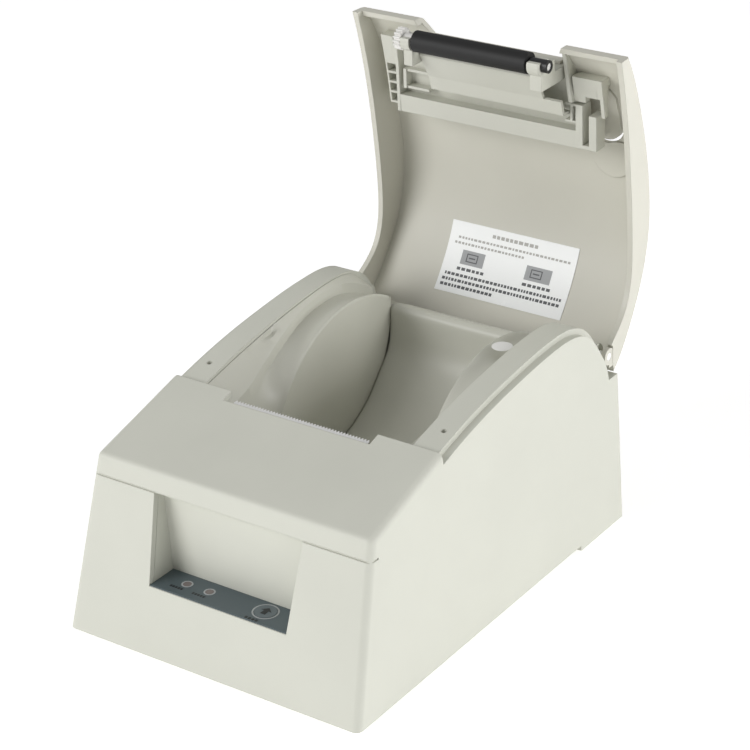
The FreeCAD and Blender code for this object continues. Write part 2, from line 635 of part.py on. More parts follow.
def power_rocker():
    """Two-way rocker on its pivot, drawn with the lower half pressed."""
    x, z, y = ROCKER.x, ROCKER.z, HALF_DEPTH
    outline = [(y - 4.6, z - 7.2), (y - 0.6, z - 7.4), (y + 0.4, z),
               (y - 0.6, z + 7.4), (y - 4.6, z + 7.2), (y - 5.4, z)]
    paddle = slab_x(outline, x - 4.5, x + 4.5).cut(rod(1.0 + RUNNING_FIT, Vector(x - 6, y - 1.6, z), 12))
    paddle.rotate(Vector(x, y - 1.6, z), X_AXIS, 9.0)
    return paddle


# ---------------------------------------------------------------- lid
def lid_block(inset):
    """The closed lid as a solid block, moved inwards by inset (0 gives the outside)."""
    if inset:
        under = [(93.0, 77.0), (93.0, 60.0), (-28.0, 60.0), (-28.0, 84.0)]
        return drafted(curved_slab_x(shifted(DOME, -inset), under, -70, 70), inset)
    rear = [(96.4, 78.4), (95.6, 76.4), (91.0, 75.2), (84.0, 75.2), (81.0, 70.0)]
    front = [(-30.3, 70.0), (-30.3, 86.0)]
    block = curved_slab_x(DOME, rear + front, -70, 70)
    below = curved_slab_x(shifted(LEDGE[:9], LID_GAP), [(84, 60), (-32, 60)], -71, 71)
    return drafted(block.cut(below), 0)


def dish_outline(grow):
    """The thumb dish behind the release key, round at its rear end."""
    radius = 8.4 + grow
    y = BUTTON.y + BUTTON_HALF[1] + 8.0
    straight = box(BUTTON.x + 1.6 - radius, BUTTON.x + 1.6 + radius, y - 8.0, y, 80, 130)
    return straight.fuse(rod(radius, Vector(BUTTON.x + 1.6, y, 80), 50, Z_AXIS))


def lid_edges(edge):
    b = edge.BoundBox
    return b.YLength > 100 and b.ZMax > 100 and abs(b.Center.x) > 50


def lid_shell():
    outside = soften(lid_block(0), 3.0, lid_edges)
    shell = outside.cut(lid_block(LID_WALL))
    lugs = []
    for side in (-1, 1):
        outer, inner = side * (side_x(HINGE.z) - 0.3), side * (side_x(HINGE.z) - 2.5)
        x0 = min(outer, inner)
        lug = rod(LID_LUG, Vector(x0, HINGE.y, HINGE.z), 2.2)
        neck = box(x0, x0 + 2.2, HINGE.y - 1.5, HINGE.y + 5.0, HINGE.z, HINGE.z + 4.6)
        lugs.append(lug.fuse(neck))
    shell = fuse([shell] + lugs)
    shell = shell.cut(rod(PIN_RADIUS + RUNNING_FIT, HINGE - X_AXIS * 80, 160))
    notch = [(-NOTCH_MOUTH, -31), (NOTCH_MOUTH, -31), (NOTCH_HALF, NOTCH_Y), (-NOTCH_HALF, NOTCH_Y)]
    gap = slab_z(notch, 76, 96)
    shell = shell.cut(gap)
    lip = box(-NOTCH_HALF, NOTCH_HALF, NOTCH_Y, NOTCH_Y + 1.2, 87.2, 91.6)
    shell = shell.fuse(lip.cut(curved_slab_x(DOME, [(99, 140), (-40, 140)], -40, 40)))
    dish_floor = curved_slab_x(shifted(DOME, -LID_WALL - 0.8), [(99, 60), (-40, 60)], -60, 60)
    dish = dish_outline(0.0).common(outside).cut(dish_floor)
    recess = dish_outline(-1.6).cut(curved_slab_x(shifted(DOME, -0.9), [(99, 60), (-40, 60)], -60, 60))
    rail_room = curved_slab_x(shifted(LEDGE[:9], RAIL_RISE + 0.5), [(84, 50), (-31, 50)], -60, 60)
    shell = shell.cut(drafted(rail_room, RAIL_INSET - 0.4))
    shell = shell.fuse(dish).cut(recess).cut(stadium(BUTTON_GAP, 80, 120))
    return opened(shell.removeSplitter())


def lid_room():
    """The space inside the closed lid that clears the dome and the rails of the case."""
    dome = curved_slab_x(shifted(DOME, -LID_WALL - 0.05), [(93, 60), (-28, 60)], -53, 53)
    rail = curved_slab_x(shifted(LEDGE[:9], RAIL_RISE + 0.6), [(84, 50), (-32, 50)], RAIL_INNER - 0.5, 60)
    return dome.cut(rail).cut(rail.mirror(Vector(0, 0, 0), X_AXIS))


def latch_ladder():
    """Left end of the carrier: a plate with four pockets and the wall beside it."""
    plate = slab_x([(-21.0, 84.0), (-8.0, 86.8), (9.2, 89.8), (9.2, 102.0), (-21.0, 92.0)], -50.6, -44.6)
    for y in (-8.4, -4.0, 0.4, 4.8):
        plate = plate.cut(box(-49.8, -45.4, y, y + 3.4, 80, y * 0.22 + 94.0))
    wall = slab_x([(-19.0, 84.6), (-8.0, 86.0), (10.6, 86.6), (10.6, 103.0), (-19.0, 92.0)], -44.8, -43.4)
    return plate.fuse(wall)


def latch_block():
    """Right end of the carrier: an upright slot between two lips and the hook above it."""
    front = [(-7.3, 86.2), (10.4, 86.6), (10.4, 93.0), (-7.3, 93.0)]
    block = slab_x(front, 36.6, 45.6).cut(box(39.6, 42.4, -8.0, 8.8, 80, 96))
    block = block.cut(box(42.3, 46.0, -8.0, -3.6, 80, 110))
    hook_side = [(-18.8, 85.0), (-10.8, 86.6), (-3.0, 88.2), (-3.0, 90.4),
                 (-15.4, 90.4), (-15.4, 97.0), (-18.8, 97.0)]
    hook = slab_x(hook_side, 35.7, 48.3).cut(box(40.6, 46.8, -10.8, 0.0, 80, 97))
    hook = hook.cut(box(30.0, 41.0, -8.3, 0.0, 80, 110))
    web = box(34.2, 35.2, -7.3, 0.4, 86.4, 93)
    flanges = [box(32.1, 36.7, y, y + 0.9, 86.4, 93) for y in (-7.3, -0.5)]
    return [block, hook, web] + flanges


def platen_arm(x0, x1):
    """A cup round the platen bearing with a foot up to the carrier."""
    cup = rod(4.1, Vector(x0, PLATEN.y, PLATEN.z), x1 - x0)
    foot = box(x0, x1, PLATEN.y, -16.4, PLATEN.z - 1.5, 80.0)
    post = box(x0, x1, -21.6, -16.4, 78.0, 92.0)
    return fuse([cup, foot, post]).cut(rod(BUSHING_RADIUS, Vector(x0 - 1, PLATEN.y, PLATEN.z), x1 - x0 + 2))


def lid_bracket():
    """Moulded carrier inside the lid's front edge: cross bar, deck, platen arms and latch ends."""
    bar = slab_x([(3.4, 86.4), (10.6, 86.8), (10.6, 103.0), (9.2, 103.0), (9.2, 88.4), (4.8, 88.2),
                  (4.8, 93.6), (-18.0, 92.0), (-18.0, 88.4), (3.4, 91.6)], -44.8, 39.0)
    arm_post = box(-41.6, -40.2, -7.7, 0.4, 86.4, 92.6)
    flanges = [box(-41.6, -30.0, y, y + 1.1, 87.0, 92.6) for y in (-7.7, -0.7)]
    rib = slab_z([(31.4, -27.4), (33.0, -27.4), (36.0, -8.3), (34.4, -8.3)], 84.8, 97.0)
    arms = [platen_arm(-30.1, -26.2), platen_arm(26.2, 31.2)]
    whole = fuse([bar, latch_ladder(), arm_post, rib] + flanges + arms + latch_block())
    well = stadium(1.0, 80, 120).cut(curved_slab_x(shifted(DOME, -5.4), [(99, 60), (-28, 60)], -70, 70))
    return opened(whole.common(lid_room()).cut(well))


def paper_guide():
    """Guide film from the platen back to the carrier."""
    film = [(-20.8, 75.0), (-19.8, 74.4), (-9.4, 80.6), (-3.4, 82.4),
            (-2.6, 88.0), (-3.8, 88.0), (-4.4, 83.5), (-9.8, 81.9)]
    return opened(slab_x(film, -25.9, 25.9).fuse(slab_x(film[2:], 25.8, 33.5)))


def platen_roller():
    rubber = tube(PLATEN_RADIUS, SHAFT_RADIUS, PLATEN - X_AXIS * PLATEN_HALF, 2 * PLATEN_HALF)
    return opened(rubber)


def platen_shaft():
    shaft = rod(SHAFT_RADIUS, Vector(GEAR_X - 0.4, PLATEN.y, PLATEN.z), 33.4 - GEAR_X + 0.4)
    return opened(shaft)


def platen_gear():
    return opened(gear(PLATEN_TEETH, PLATEN, SHAFT_RADIUS, PLATEN_TURN))


def bushing(x0, x1):
    """Plain bearing of the platen shaft."""
    return tube(BUSHING_RADIUS, SHAFT_RADIUS + RUNNING_FIT, Vector(x0, PLATEN.y, PLATEN.z), x1 - x0)


def left_bushing():
    return opened(bushing(-30.1, -26.0))


def right_bushing():
    return opened(bushing(26.0, 33.8))


def instruction_label():
    """Thin film on the inside of the dome."""
    outer = curved_slab_x(shifted(DOME, -LID_WALL - 0.05), [(94, 60), (-28, 60)], -LABEL_HALF, LABEL_HALF)
    inner = curved_slab_x(shifted(DOME, -LID_WALL - 0.25), [(94, 60), (-28, 60)], -31.0, 31.0)
    return opened(outer.cut(inner).common(box(-30, 30, LABEL_Y[0], LABEL_Y[1], 60, 120)))


def stadium(grow, z0, z1):
    """The release button's outline: a rectangle with round ends towards the front and the rear."""
    radius = BUTTON_HALF[0] + grow
    reach = BUTTON_HALF[1] - BUTTON_HALF[0]
    middle = box(BUTTON.x - radius, BUTTON.x + radius, BUTTON.y - reach, BUTTON.y + reach, z0, z1)
    ends = [rod(radius, Vector(BUTTON.x, BUTTON.y + y, z0), z1 - z0, Z_AXIS) for y in (-reach, reach)]
    return fuse([middle] + ends)


def release_button():
    """Oblong push key through the dome; it moves inwards by BUTTON_TRAVEL."""
    roof = curved_slab_x(shifted(DOME, 0.3), [(99, 60), (-28, 60)], -70, 70)
    hollow = curved_slab_x(shifted(DOME, -2.2), [(99, 60), (-28, 60)], -70, 70)
    return opened(stadium(0.0, 80, 120).common(roof).cut(hollow))


def button_spring():
    """Coil between the key and the pad below it, drawn at its pressed length."""
    length = BUTTON_SPRING_FREE - BUTTON_TRAVEL
    return opened(coil_spring(Vector(BUTTON.x - 3.2, BUTTON.y + 6.0, 93.45), Z_AXIS, 1.4, 0.25, length, 3))


def hinge_pin(side):
    outer = side_x(HINGE.z) - 0.35
    length = outer - 50.6
    start = outer - length if side > 0 else -outer
    return rod(PIN_RADIUS, Vector(start, HINGE.y, HINGE.z), length)


def rail_sticker():
    return rod(4.0, Vector(40.6, 40.2, 90.9), 0.15, Z_AXIS)


# ---------------------------------------------------------------- write every piece
PARTS = {
    "upper_case": upper_case,
    "base_plate": base_plate,
    "rubber_feet": feet,
    "base_screws": base_screws,
    "control_pocket": control_pocket,
    "panel_overlay": panel_overlay,
    "power_lens": lambda: lens(LENS_X[0]),
    "paper_lens": lambda: lens(LENS_X[1]),
    "feed_button": feed_button,
    "feed_switch": feed_switch,
    "panel_board": panel_board,
    "panel_leds": panel_leds,
    "paper_bucket": paper_bucket,
    "paper_sensor": paper_sensor,
    "left_cheek": lambda: cheek(-1),
    "right_cheek": lambda: cheek(1),
    "mechanism_frame": mechanism_frame,
    "print_head": print_head,
    "heatsink": heatsink,
    "head_springs": head_springs,
    "head_cable": head_cable,
    "step_motor": step_motor,
    "motor_pinion": motor_pinion,
    "idler_gear": lambda: gear(IDLER_TEETH, IDLER, 1.0 + RUNNING_FIT, IDLER_TURN),
    "transfer_gear": lambda: gear(TRANSFER_TEETH, TRANSFER, 1.0 + RUNNING_FIT, TRANSFER_TURN),
    "gear_pins": gear_pins,
    "tear_bar": tear_bar,
    "main_board": main_board,
    "board_parts": board_parts,
    "board_screws": board_screws,
    "usb_port": usb_port,
    "drawer_port": drawer_port,
    "power_jack": power_jack,
    "switch_body": switch_body,
    "power_rocker": power_rocker,
    "left_hinge_pin": lambda: hinge_pin(-1),
    "right_hinge_pin": lambda: hinge_pin(1),
    "rail_sticker": rail_sticker,
    "lid_shell": lid_shell,
    "lid_bracket": lid_bracket,
    "paper_guide": paper_guide,
    "platen_roller": platen_roller,
    "platen_shaft": platen_shaft,
    "platen_gear": platen_gear,
    "left_bushing": left_bushing,
    "right_bushing": right_bushing,
    "instruction_label": instruction_label,
    "release_button": release_button,
    "button_spring": button_spring,
}

os.makedirs("parts", exist_ok=True)
for part_name, make in PARTS.items():
    save(part_name, make())
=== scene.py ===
"""Looks of the receipt printer: materials, fine pieces, light and camera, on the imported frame."""
import bpy
import json
import math
import random
from mathutils import Vector, Matrix
from mathutils.bvhtree import BVHTree


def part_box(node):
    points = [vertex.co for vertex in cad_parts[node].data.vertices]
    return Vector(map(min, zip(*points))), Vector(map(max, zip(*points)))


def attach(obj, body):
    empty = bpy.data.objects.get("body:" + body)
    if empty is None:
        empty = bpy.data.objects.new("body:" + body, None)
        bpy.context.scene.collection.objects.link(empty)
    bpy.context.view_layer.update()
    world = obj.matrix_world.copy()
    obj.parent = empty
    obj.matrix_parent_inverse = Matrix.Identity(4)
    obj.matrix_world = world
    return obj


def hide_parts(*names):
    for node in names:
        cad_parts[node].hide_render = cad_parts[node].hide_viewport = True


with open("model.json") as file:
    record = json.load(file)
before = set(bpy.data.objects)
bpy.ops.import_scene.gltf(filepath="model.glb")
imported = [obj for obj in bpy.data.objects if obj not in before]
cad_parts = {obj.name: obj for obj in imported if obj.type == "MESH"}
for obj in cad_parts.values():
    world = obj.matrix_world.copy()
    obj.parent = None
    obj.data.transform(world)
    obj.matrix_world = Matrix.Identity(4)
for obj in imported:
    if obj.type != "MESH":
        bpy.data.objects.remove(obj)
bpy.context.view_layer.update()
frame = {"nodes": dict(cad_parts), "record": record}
NODES = frame["nodes"]
CASE_LOW, CASE_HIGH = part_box("upper_case")
CASE_Y = (CASE_LOW.y + CASE_HIGH.y) / 2


def at(x, y, z):
    """Millimetres about the middle of the case's foot line, as a point of the frame in metres."""
    return Vector((x * 0.001, CASE_Y + y * 0.001, z * 0.001))


# ---------------------------------------------------------------- mesh helpers
SHARP_ANGLE = math.radians(38.0)


def new_object(name, points, faces, smooth=True):
    mesh = bpy.data.meshes.new(name)
    mesh.from_pydata([tuple(p) for p in points], [], faces)
    mesh.update()
    for polygon in mesh.polygons:
        polygon.use_smooth = smooth
    if smooth:
        mesh.set_sharp_from_angle(angle=SHARP_ANGLE)
    piece = bpy.data.objects.new(name, mesh)
    bpy.context.scene.collection.objects.link(piece)
    return piece


def finish_piece(piece, slot, body, *stands_for):
    """Give a piece its finish, the body it moves with and the CAD nodes it stands for."""
    piece.data.materials.append(MATERIALS[slot])
    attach(piece, body)
    if stands_for:
        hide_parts(*stands_for)
    return piece


def slope(table, i):
    """Rate of change of the values at row i, from the rows on either side."""
    before, after = table[max(i - 1, 0)], table[min(i + 1, len(table) - 1)]
    return [(b - a) / (after[0] - before[0]) for a, b in zip(before[1:], after[1:])]


def blend_points(table, value):
    """Smooth curve through (parameter, values...) rows."""
    i = max(k for k in range(len(table) - 1) if table[k][0] <= value or k == 0)
    span = table[i + 1][0] - table[i][0]
    t = (value - table[i][0]) / span
    weights = (2 * t**3 - 3 * t**2 + 1, 3 * t**2 - 2 * t**3, (t**3 - 2 * t**2 + t) * span, (t**3 - t**2) * span)
    ends = zip(table[i][1:], table[i + 1][1:], slope(table, i), slope(table, i + 1))
    return [sum(weight * part for weight, part in zip(weights, parts)) for parts in ends]


def grid_faces(rows, columns):
    return [(r * columns + c, r * columns + c + 1, (r + 1) * columns + c + 1, (r + 1) * columns + c)
            for r in range(rows - 1) for c in range(columns - 1)]


def thicken_smoothly(piece, thickness):
    """Wall of the given thickness under the surface, then one level of subdivision."""
    solid = piece.modifiers.new("wall", "SOLIDIFY")
    solid.thickness = thickness
    solid.offset = -1.0
    subdivision = piece.modifiers.new("smooth", "SUBSURF")
    subdivision.levels = subdivision.render_levels = 1


# ---------------------------------------------------------------- camera, floor, light
CAMERA_AZIMUTH, CAMERA_ELEVATION, CAMERA_ROLL = math.radians(34.64), math.radians(26.0), math.radians(-1.08)
CAMERA_PLACE = (465.1, -658.1, 478.0)
LENS = 116.19
# watts of the three lights, strength of the even sky and of the floor's own glow
LEFT_POWER, RIGHT_POWER, TOP_POWER, WORLD_POWER, FLOOR_GLOW = 22.0, 17.0, 4.0, 0.31, 0.46
FLOOR_REACH = 6.0


def make_camera():
    azimuth, elevation, roll = CAMERA_AZIMUTH, CAMERA_ELEVATION, CAMERA_ROLL
    level = math.cos(elevation)
    back = Vector((math.sin(azimuth) * level, -math.cos(azimuth) * level, math.sin(elevation)))
    right = (-back).cross(Vector((0, 0, 1))).normalized()
    up = right.cross(-back)
    across = right * math.cos(roll) + up * math.sin(roll)
    above = up * math.cos(roll) - right * math.sin(roll)
    data = bpy.data.cameras.new("camera")
    data.lens, data.sensor_width = LENS, 36.0
    data.clip_start, data.clip_end = 0.05, 20.0
    camera = bpy.data.objects.new("camera", data)
    bpy.context.scene.collection.objects.link(camera)
    turn = Matrix((across, above, back)).transposed().to_4x4()
    camera.matrix_world = Matrix.Translation(at(*CAMERA_PLACE)) @ turn
    bpy.context.scene.camera = camera


def area_light(name, place, target, size, power):
    data = bpy.data.lights.new(name, "AREA")
    data.shape, data.size, data.size_y = "RECTANGLE", size[0], size[1]
    data.energy = power
    light = bpy.data.objects.new(name, data)
    bpy.context.scene.collection.objects.link(light)
    light.location = place
    light.rotation_mode = "QUATERNION"
    light.rotation_quaternion = (Vector(target) - Vector(place)).to_track_quat("-Z", "Y")


def make_light():
    area_light("front_left", (-1.0, -1.6, 0.9), (0, 0, 0.08), (1.1, 1.0), LEFT_POWER)
    area_light("right", (1.7, 0.5, 0.6), (0, 0, 0.08), (1.0, 0.8), RIGHT_POWER)
    area_light("top", (0.0, 0.3, 1.9), (0, 0, 0.05), (1.6, 1.6), TOP_POWER)
    world = bpy.data.worlds.new("studio")
    world.use_nodes = True
    world.node_tree.nodes["Background"].inputs["Color"].default_value = (1.0, 1.0, 1.0, 1)
    world.node_tree.nodes["Background"].inputs["Strength"].default_value = WORLD_POWER
    bpy.context.scene.world = world
    bpy.context.scene.view_settings.view_transform = "Standard"


def make_floor():
    reach = FLOOR_REACH
    corners = [(-reach, -reach, 0), (reach, -reach, 0), (reach, reach, 0), (-reach, reach, 0)]
    floor = new_object("floor", corners, [(0, 1, 2, 3)], smooth=False)
    material = bpy.data.materials.new("pale_floor")
    material.use_nodes = True
    shader = material.node_tree.nodes["Principled BSDF"]
    shader.inputs["Base Color"].default_value = (0.93, 0.93, 0.93, 1)
    shader.inputs["Roughness"].default_value = 0.7
    shader.inputs["Emission Color"].default_value = (1, 1, 1, 1)
    shader.inputs["Emission Strength"].default_value = FLOOR_GLOW
    floor.data.materials.append(material)


# ---------------------------------------------------------------- materials
def node(tree, kind, **values):
    """Shader node with its sockets set by name."""
    made = tree.nodes.new(kind)
    for name, value in values.items():
        made.inputs[name.replace("_", " ")].default_value = value
    return made


def finish_material(name, colour, roughness=0.5, grain=0.00004, scale=2400.0, edge=0.0004,
                    metallic=0.0, wear=1.05):
    """Fine surface grain, faint mottling, uneven gloss and edges that are slightly rounded and worn lighter."""
    material = bpy.data.materials.new(name)
    material.use_nodes = True
    tree = material.node_tree
    link = tree.links.new
    shader = tree.nodes["Principled BSDF"]
    coordinates = tree.nodes.new("ShaderNodeTexCoord")
    fine = node(tree, "ShaderNodeTexNoise", Scale=scale, Detail=2.0)
    broad = node(tree, "ShaderNodeTexNoise", Scale=26.0, Detail=4.0)
    for noise in (fine, broad):
        link(coordinates.outputs["Object"], noise.inputs["Vector"])
    tone = tree.nodes.new("ShaderNodeValToRGB")
    tone.color_ramp.elements[0].position, tone.color_ramp.elements[1].position = 0.3, 0.7
    tone.color_ramp.elements[0].color = (*[c * 0.975 for c in colour], 1)
    tone.color_ramp.elements[1].color = (*[min(1, c * 1.015) for c in colour], 1)
    link(broad.outputs["Fac"], tone.inputs["Fac"])
    rounded = tree.nodes.new("ShaderNodeBevel")
    rounded.samples = 4
    rounded.inputs["Radius"].default_value = edge
    unrounded = tree.nodes.new("ShaderNodeNewGeometry")
    agree = tree.nodes.new("ShaderNodeVectorMath")
    agree.operation = "DOT_PRODUCT"
    link(rounded.outputs["Normal"], agree.inputs[0])
    link(unrounded.outputs["Normal"], agree.inputs[1])
    worn = node(tree, "ShaderNodeMapRange", From_Min=0.98, From_Max=0.80, To_Min=0.0, To_Max=1.0)
    link(agree.outputs["Value"], worn.inputs["Value"])
    mix = tree.nodes.new("ShaderNodeMix")
    mix.data_type = "RGBA"
    colour_sockets = [socket for socket in mix.inputs if socket.type == "RGBA"]
    colour_sockets[1].default_value = (*[min(1, c * wear) for c in colour], 1)
    link(worn.outputs["Result"], mix.inputs["Factor"])
    link(tone.outputs["Color"], colour_sockets[0])
    link([socket for socket in mix.outputs if socket.type == "RGBA"][0], shader.inputs["Base Color"])
    gloss = node(tree, "ShaderNodeMapRange", To_Min=roughness - 0.05, To_Max=roughness + 0.07)
    link(broad.outputs["Fac"], gloss.inputs["Value"])
    link(gloss.outputs["Result"], shader.inputs["Roughness"])
    bump = node(tree, "ShaderNodeBump", Strength=0.3, Distance=grain)
    link(fine.outputs["Fac"], bump.inputs["Height"])
    link(rounded.outputs["Normal"], bump.inputs["Normal"])
    link(bump.outputs["Normal"], shader.inputs["Normal"])
    shader.inputs["IOR"].default_value = 1.46
    shader.inputs["Metallic"].default_value = metallic
    return material


def make_materials():
    beige = (0.640, 0.645, 0.572)
    return {
        "case_plastic": finish_material("case_plastic", beige, 0.48),
        "lid_plastic": finish_material("lid_plastic", (0.650, 0.638, 0.560), 0.42),
        # Same plastic as the case but coloured slightly darker: painted shade of the bay's interior.
        "liner_plastic": finish_material("liner_plastic", (0.600, 0.600, 0.530), 0.38, 0.00002),
        "dark_plastic": finish_material("dark_plastic", (0.015, 0.015, 0.016), 0.35, edge=0.0002),
        "white_plastic": finish_material("white_plastic", (0.80, 0.79, 0.76), 0.35, edge=0.0002),
        "panel_film": finish_material("panel_film", (0.088, 0.117, 0.130), 0.42, edge=0.0001),
        "lens": finish_material("lens", (0.20, 0.17, 0.165), 0.2, edge=0.0003),
        "key_plastic": finish_material("key_plastic", (0.120, 0.150, 0.165), 0.35, edge=0.0003),
        "mark_light": finish_material("mark_light", (0.42, 0.44, 0.45), 0.4, edge=0.0001),
        "mark_dark": finish_material("mark_dark", (0.012, 0.014, 0.016), 0.4, edge=0.0001),
        "ink": finish_material("ink", (0.075, 0.080, 0.085), 0.4, edge=0.0001),
        "faint_ink": finish_material("faint_ink", (0.44, 0.43, 0.40), 0.4, edge=0.0001),
        "grey_ink": finish_material("grey_ink", (0.36, 0.37, 0.38), 0.4, edge=0.0001),
        "rubber": finish_material("rubber", (0.009, 0.009, 0.009), 0.55, 0.00006, 1800.0),
        "steel": finish_material("steel", (0.55, 0.55, 0.55), 0.3, 0.00002, 900.0, 0.0002, 1.0, 1.2),
        # Near-white and only partly metallic: painted reflection of the bright surroundings on the tear bar's
        # steel.
        "bright_steel": finish_material("bright_steel", (0.93, 0.93, 0.92), 0.30, 0.00002, 900.0, 0.0001, 0.35),
        "aluminium": finish_material("aluminium", (0.70, 0.71, 0.72), 0.35, 0.00002, 900.0, 0.0002, 1.0, 1.2),
        "ceramic": finish_material("ceramic", (0.25, 0.16, 0.10), 0.2),
        "board": finish_material("board", (0.01, 0.09, 0.035), 0.4, edge=0.0002),
        "parts": finish_material("parts", (0.02, 0.02, 0.022), 0.45, edge=0.0003),
        "cable": finish_material("cable", (0.65, 0.63, 0.55), 0.4, edge=0.0001),
        "label": finish_material("label", (0.955, 0.97, 0.965), 0.25, 0.00001, edge=0.0001),
        "sticker": finish_material("sticker", (0.88, 0.88, 0.86), 0.4, edge=0.0001),
    }


MATERIALS = make_materials()


def dress_nodes():
    """Give every CAD node the finish of its slot in the record."""
    for part in frame["record"]["subparts"]:
        NODES[part["node"]].data.materials.clear()
        NODES[part["node"]].data.materials.append(MATERIALS[part["material_slot"]])


# ---------------------------------------------------------------- paper bay
BAY_HALF = (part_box("right_cheek")[0].x + 0.00005) * 1000
RAIL_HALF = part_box("right_cheek")[1].x * 1000
# circles of the cheek's disc and of the trough: y, z and radius
DISC = (46.0, 35.0, 54.0)
BUCKET = (27.0, 78.0, 47.0)
# degrees from the front end of the cheek to its rear end, on the disc's rim and on the trough
RIM_ANGLES = (168.8, 59.4)
FLOOR_ANGLES = (223.7, 364.3)
STEP_DROP = 4.4
TROUGH_WALL = 0.0014
# lowest z of the closed lid's bracket over the cheeks, and the y where it ends
BRACKET_LOW, BRACKET_BACK = 85.8, 11.8
# share along the cheek, then y and z where it meets the rail
RAIL_LINE = [(0.0, -29.5, 81.0), (0.17, -12.0, 84.8), (0.38, 8.4, 88.6), (0.57, 27.0, 91.3),
             (0.78, 50.8, 93.2), (0.92, 65.0, 91.6), (1.0, 73.0, 86.6)]
# share along the cheek, then x, y and z of the step between its shoulder and its channel
STEP_LINE = [(0.0, 36.4, -29.5, 72.6), (0.17, 38.4, -12.0, 75.6), (0.30, 41.0, 1.1, 79.5),
             (0.43, 42.6, 14.5, 84.9), (0.58, 44.2, 29.3, 89.1), (0.70, 44.7, 42.2, 90.8),
             (0.82, 44.2, 54.4, 90.9), (0.92, 41.8, 64.1, 88.6), (1.0, 39.0, 71.0, 84.4)]


def on_circle(circle, degrees, inwards=0.0):
    """Point (y, z) on a circle given as (y, z, radius), or a little inside it."""
    angle, radius = math.radians(degrees), circle[2] - inwards
    return circle[0] + radius * math.cos(angle), circle[1] + radius * math.sin(angle)


def room_under_lid(y):
    """Highest z of the cheek that the lid's bracket clears when the lid is closed."""
    return BRACKET_LOW + max(0.0, y - BRACKET_BACK)


def cheek_row(share, side):
    """One cross-section of the cheek: rail, shoulder, step, channel, rim of the disc and the disc's face."""
    rail_y, rail_z = blend_points(RAIL_LINE, share)
    step_x, step_y, step_z = blend_points(STEP_LINE, share)
    rim_angle = RIM_ANGLES[0] + (RIM_ANGLES[1] - RIM_ANGLES[0]) * share
    rim_y, rim_z = on_circle(DISC, rim_angle)
    row = [(RAIL_HALF, rail_y, rail_z - 1.2), (RAIL_HALF, rail_y, rail_z - 0.35),
           (RAIL_HALF - 0.4, rail_y, rail_z - 0.2)]
    for part in (0.5, 0.97):
        row.append((RAIL_HALF - 0.4 + (step_x - RAIL_HALF + 0.4) * part, rail_y + (step_y - rail_y) * part,
                    rail_z - 0.2 + (step_z - rail_z + 0.2) * part))
    row.append((step_x, step_y, step_z))
    row.append((step_x - 0.2, step_y, step_z - STEP_DROP))
    low_z = step_z - STEP_DROP
    for part in (0.12, 0.3, 0.5, 0.7, 0.86, 0.95):
        fall = part ** 0.75
        sag = 1.6 * math.sin(math.pi * min(1.0, part * 1.02)) * (0.4 + 0.6 * share)
        row.append((step_x - 0.2 + (BAY_HALF + 1.0 - step_x + 0.2) * part,
                    step_y + (rim_y - step_y) * part,
                    low_z + (rim_z - low_z) * fall - sag))
    row.append((BAY_HALF + 0.7, rim_y, rim_z))
    row.append((BAY_HALF + 0.1, *on_circle(DISC, rim_angle, 0.5)))
    top_y, top_z = on_circle(DISC, rim_angle, 1.4)
    low_y, low_z = on_circle(BUCKET, FLOOR_ANGLES[0] + (FLOOR_ANGLES[1] - FLOOR_ANGLES[0]) * share)
    for part in (0.0, 0.15, 0.5, 1.0):
        row.append((BAY_HALF, top_y + (low_y - top_y) * part, top_z + (low_z - top_z) * part))
    return [at(side * x, y, z if x == RAIL_HALF else min(z, room_under_lid(y))) for x, y, z in row]


def make_cheek(side, name, stands_for):
    stations = 61
    points = []
    for i in range(stations):
        points += cheek_row(i / (stations - 1), side)
    faces = grid_faces(stations, len(points) // stations)
    if side > 0:
        faces = [tuple(reversed(f)) for f in faces]
    cheek = new_object(name, points, faces)
    finish_piece(cheek, "liner_plastic", "case", stands_for)


def make_trough():
    """Floor and rear wall of the roll's bay in one bent sheet with a rolled lip and a flange."""
    profile = [(-17.6, 62.0)]
    for i in range(17):
        profile.append(on_circle(BUCKET, 196.0 + i * 8.0, 0.4))
    profile += [(72.2, 58.4), (73.6, 65.0), (74.1, 71.0), (74.1, 74.6), (74.3, 76.0), (75.1, 76.8),
                (76.3, 76.7), (80.0, 74.9), (85.2, 72.2)]
    columns = 9
    half = BAY_HALF + 0.25
    points = []
    for y, z in profile:
        points += [at(-half + 2 * half * c / (columns - 1), y, z) for c in range(columns)]
    trough = new_object("bay_trough", points, [tuple(reversed(f)) for f in grid_faces(len(profile), columns)])
    thicken_smoothly(trough, TROUGH_WALL)
    finish_piece(trough, "liner_plastic", "case", "paper_bucket")


# ---------------------------------------------------------------- printed marks
MARK_THICKNESS = 0.00006


def flat_mark(name, outlines, z, slot, body):
    """Thin raised print on the panel: each outline is a list of (x, y) points in metres."""
    points, faces = [], []
    for outline in outlines:
        start, count = len(points), len(outline)
        points += [(x, y, z) for x, y in outline] + [(x, y, z + MARK_THICKNESS) for x, y in outline]
        faces.append(tuple(range(start + count, start + 2 * count)))
        faces.append(tuple(reversed(range(start, start + count))))
        for i in range(count):
            after = (i + 1) % count
            faces.append((start + i, start + after, start + count + after, start + count + i))
    finish_piece(new_object(name, points, faces, smooth=False), slot, body)


def ring_outlines(centre, inner, outer, steps=40):
    """Quadrilaterals that together make a flat ring."""
    made = []
    for i in range(steps):
        a, b = 2 * math.pi * i / steps, 2 * math.pi * (i + 1) / steps
        made.append([(centre.x + r * math.cos(t), centre.y + r * math.sin(t))
                     for r, t in ((inner, a), (outer, a), (outer, b), (inner, b))])
    return made


def bar(x, y, width, height):
    return [(x - width / 2, y - height / 2), (x + width / 2, y - height / 2),
            (x + width / 2, y + height / 2), (x - width / 2, y + height / 2)]


